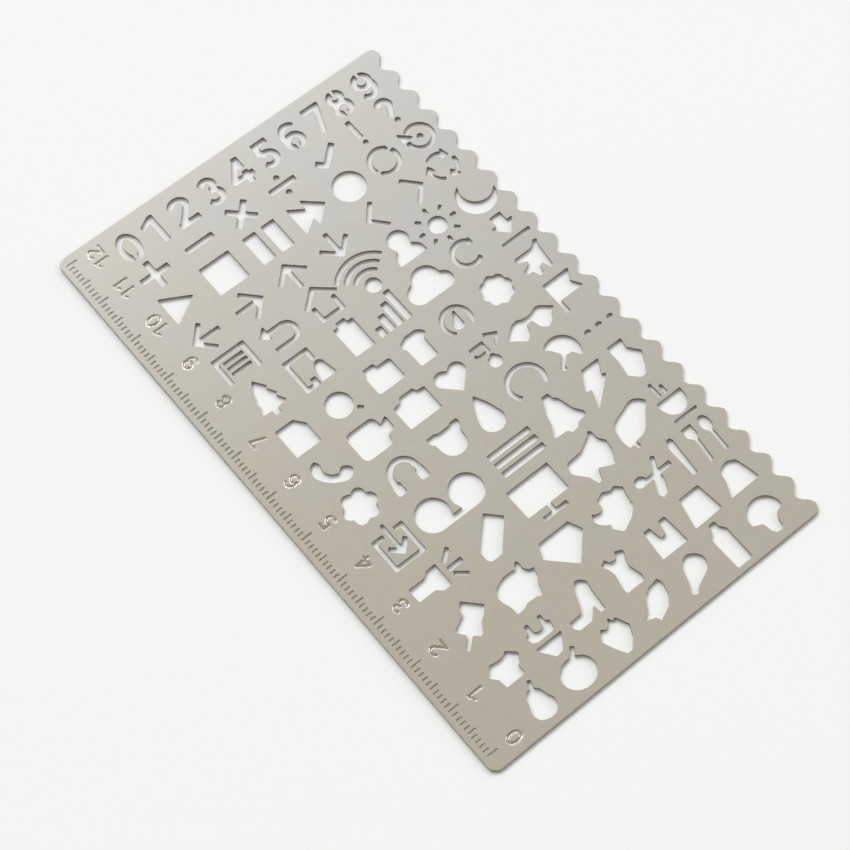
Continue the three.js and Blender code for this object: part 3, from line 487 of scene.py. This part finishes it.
def etchedPlate(source, look):
    points, triangles = mergedCopy(source, look)
    thickness = float(points[:, 2].max())
    order, loop = patchOutlines(triangles[points[triangles][:, :, 2].min(axis=1) == thickness])
    outline, under = points[order, :2], points[points[:, 2] == 0, :2]

    # A loop goes right through where the underside has its points too, and is a groove elsewhere.
    # Points are compared as complex numbers
    below = np.isin(outline @ (1, 1j), under @ (1, 1j))
    through = np.bincount(loop, below) > np.bincount(loop) / 2
    radius = np.where(through[loop], look["cornerRadius"], look["grooveReach"])
    outline, loop = smoothOutlines(outline, loop, radius, look)
    mitre, metalRadius, holeRadius = intoMetal(outline, loop, look)
    cut, etched = through[loop], ~through[loop]

    # The largest outline is the sheet's own, and the smallest ones are ticks
    area = np.abs(loopAreas(outline, loop))
    tick = (area < look["tickArea"])[loop]
    rounding = np.where((area == area.max())[loop], look["outerRound"], look["edgeRound"])
    wanted = np.where(cut, rounding, np.where(tick, look["tickRim"], look["grooveRim"]))
    rim = clearReach(outline, loop, mitre, wanted, metalRadius, look) * mitre
    wanted = np.where(tick, look["tickReach"], look["grooveReach"])[etched]
    inward = -mitre[etched]
    bowl = clearReach(outline[etched], loop[etched], inward, wanted, holeRadius[etched], look) * inward
    depth = np.where(tick, look["tickDepth"], look["grooveDepth"])[etched]

    walls = cutWalls(outline[cut], loop[cut], rim[cut], rounding[cut], thickness, look)
    grooves = grooveSides(outline[etched], loop[etched], rim[etched], bowl, depth, thickness, look)
    vertices = np.concatenate([walls[0], grooves[0]])
    quads = np.concatenate([walls[1], grooves[1] + len(walls[0])])

    # The flat faces lie between the first rings above, the last rings of the walls below, and the
    # last rings of the grooves in their floors
    upper = np.empty(len(outline), int)
    upper[cut], upper[etched] = np.arange(cut.sum()), np.arange(etched.sum()) + len(walls[0])
    lower = np.arange(len(walls[0]) - cut.sum(), len(walls[0]))
    floor = np.arange(len(vertices) - etched.sum(), len(vertices))
    flats = [upper[fillFlat(vertices[upper, :2], loop)],
             lower[fillFlat(vertices[lower, :2], loop[cut])][:, ::-1],
             floor[fillFlat(vertices[floor, :2], loop[etched])]]
    return meshObject("etchedPlate", vertices, quads, np.concatenate(flats)), thickness


plate, thickness = etchedPlate(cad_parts["template_plate"].data, etchedSheet)
plate.data.materials.append(satinSteelMaterial(satinSteel, thickness, cadBox[1][1] * perMetre))
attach(plate, "root")
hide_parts("template_plate")
print("plate made")


# Paper under the sheet, sizes in metres: it lies lower than the underside by the drop, as under a
# sheet that isn't quite flat
paper = {"colour": (0.91, 0.91, 0.895, 1), "size": 6, "drop": 0.00006, "matt": 0.9, "gloss": 0.2}


def paperFloor(look):
    half = look["size"] / 2
    corners = [(x, y, -look["drop"]) for x, y in ((-half, -half), (half, -half), (half, half), (-half, half))]
    mesh = bpy.data.meshes.new("paper")
    mesh.from_pydata(corners, [], [(0, 1, 2, 3)])
    floor = bpy.data.objects.new("paper", mesh)
    bpy.context.scene.collection.objects.link(floor)
    material = bpy.data.materials.new("whitePaper")
    tree = emptyTree(material)
    sockets = {"Base Color": look["colour"], "Roughness": look["matt"], "Specular IOR Level": look["gloss"]}
    white = node(tree, "ShaderNodeBsdfPrincipled", {}, sockets)
    node(tree, "ShaderNodeOutputMaterial", {}, {"Surface": white})
    mesh.materials.append(material)


paperFloor(paper)
print("paper made")


# Studio: a high window beyond the far end, a long low one beside the wavy side and a faint one
# opposite, in a room that is pale at the far end and dimmer and warmer behind the camera. Angles in
# degrees, from the far end round to the wavy side, sizes in metres
studio = {
    "windows": (
        {"across": 13, "above": 42, "tilt": 4, "away": 8, "width": 10, "height": 4.2, "power": 670},
        {"across": 92, "above": 21, "tilt": 0, "away": 8, "width": 15, "height": 4, "power": 420},
        {"across": -90, "above": 45, "tilt": 0, "away": 8, "width": 8, "height": 6, "power": 60},
    ),
    "ambient": 0.25,
    "backdrop": (1.0, 1.0, 1.0, 1),
    "farRoom": (0.53, 0.575, 0.64, 1),
    "nearRoom": (0.50, 0.44, 0.32, 1),
    "roomTurns": (0.0, 0.6),    # the near room changes to the far one between these directions' Y
}


def addWindow(look):
    lamp = bpy.data.lights.new("window", "AREA")
    lamp.shape, lamp.energy = "RECTANGLE", look["power"]
    lamp.size, lamp.size_y = look["width"], look["height"]
    light = bpy.data.objects.new("window", lamp)
    across, above = math.radians(look["across"]), math.radians(look["above"])
    level = math.cos(above)
    toward = Vector((math.sin(across) * level, math.cos(across) * level, math.sin(above)))
    turned = toward.to_track_quat("Z", "Y") @ Quaternion((0, 0, 1), math.radians(look["tilt"]))
    light.location, light.rotation_euler = toward * look["away"], turned.to_euler()
    bpy.context.scene.collection.objects.link(light)


def studioRoom(look):
    # The camera sees the backdrop and metal sees the room, both at full strength. All other rays
    # meet the faint ambient light
    world = bpy.data.worlds.new("studio")
    bpy.context.scene.world = world
    tree = emptyTree(world)
    rays = ("Is Camera Ray", "Is Glossy Ray", "Is Transmission Ray")
    onlyCamera, glossy, transmitted = (node(tree, "ShaderNodeLightPath", output=name) for name in rays)
    along = axisOf(node(tree, "ShaderNodeTexCoord"), 1)
    room = mixColours(tree, along.between(*look["roomTurns"]), look["nearRoom"], look["farRoom"])
    shown = mixColours(tree, glossy, look["backdrop"], room)
    direct = onlyCamera.math("MAXIMUM", onlyCamera, glossy.math("MAXIMUM", glossy, transmitted))
    strength = direct * (1 - look["ambient"]) + look["ambient"]
    sky = node(tree, "ShaderNodeBackground", {}, {"Color": shown, "Strength": strength})
    node(tree, "ShaderNodeOutputWorld", {}, {"Surface": sky})


for window in studio["windows"]:
    addWindow(window)
studioRoom(studio)
bpy.context.scene.view_settings.view_transform = "Standard"
print("studio made")


# The photograph's view: from the zero end of the ruled edge, looking steeply down. The place and the
# clipping are in metres, and the lens and sensor in millimetres
photoView = {
    "place": (-0.10656, -0.12924, 0.34800),
    "right": (0.77235, -0.63520, -0.00142),
    "up": (0.57795, 0.70182, 0.41644),
    "back": (-0.26352, -0.32246, 0.90916),
    "lens": 91.09,
    "sensor": 36,
    "clip": (0.01, 20),
}


def addCamera(look):
    camera = bpy.data.objects.new("photoView", bpy.data.cameras.new("photoView"))
    camera.data.lens, camera.data.sensor_width = look["lens"], look["sensor"]
    camera.data.clip_start, camera.data.clip_end = look["clip"]
    turned = Matrix((look["right"], look["up"], look["back"])).transposed().to_4x4()
    camera.matrix_world = Matrix.Translation(look["place"]) @ turned
    bpy.context.scene.collection.objects.link(camera)
    bpy.context.scene.camera = camera


addCamera(photoView)
print("camera made")
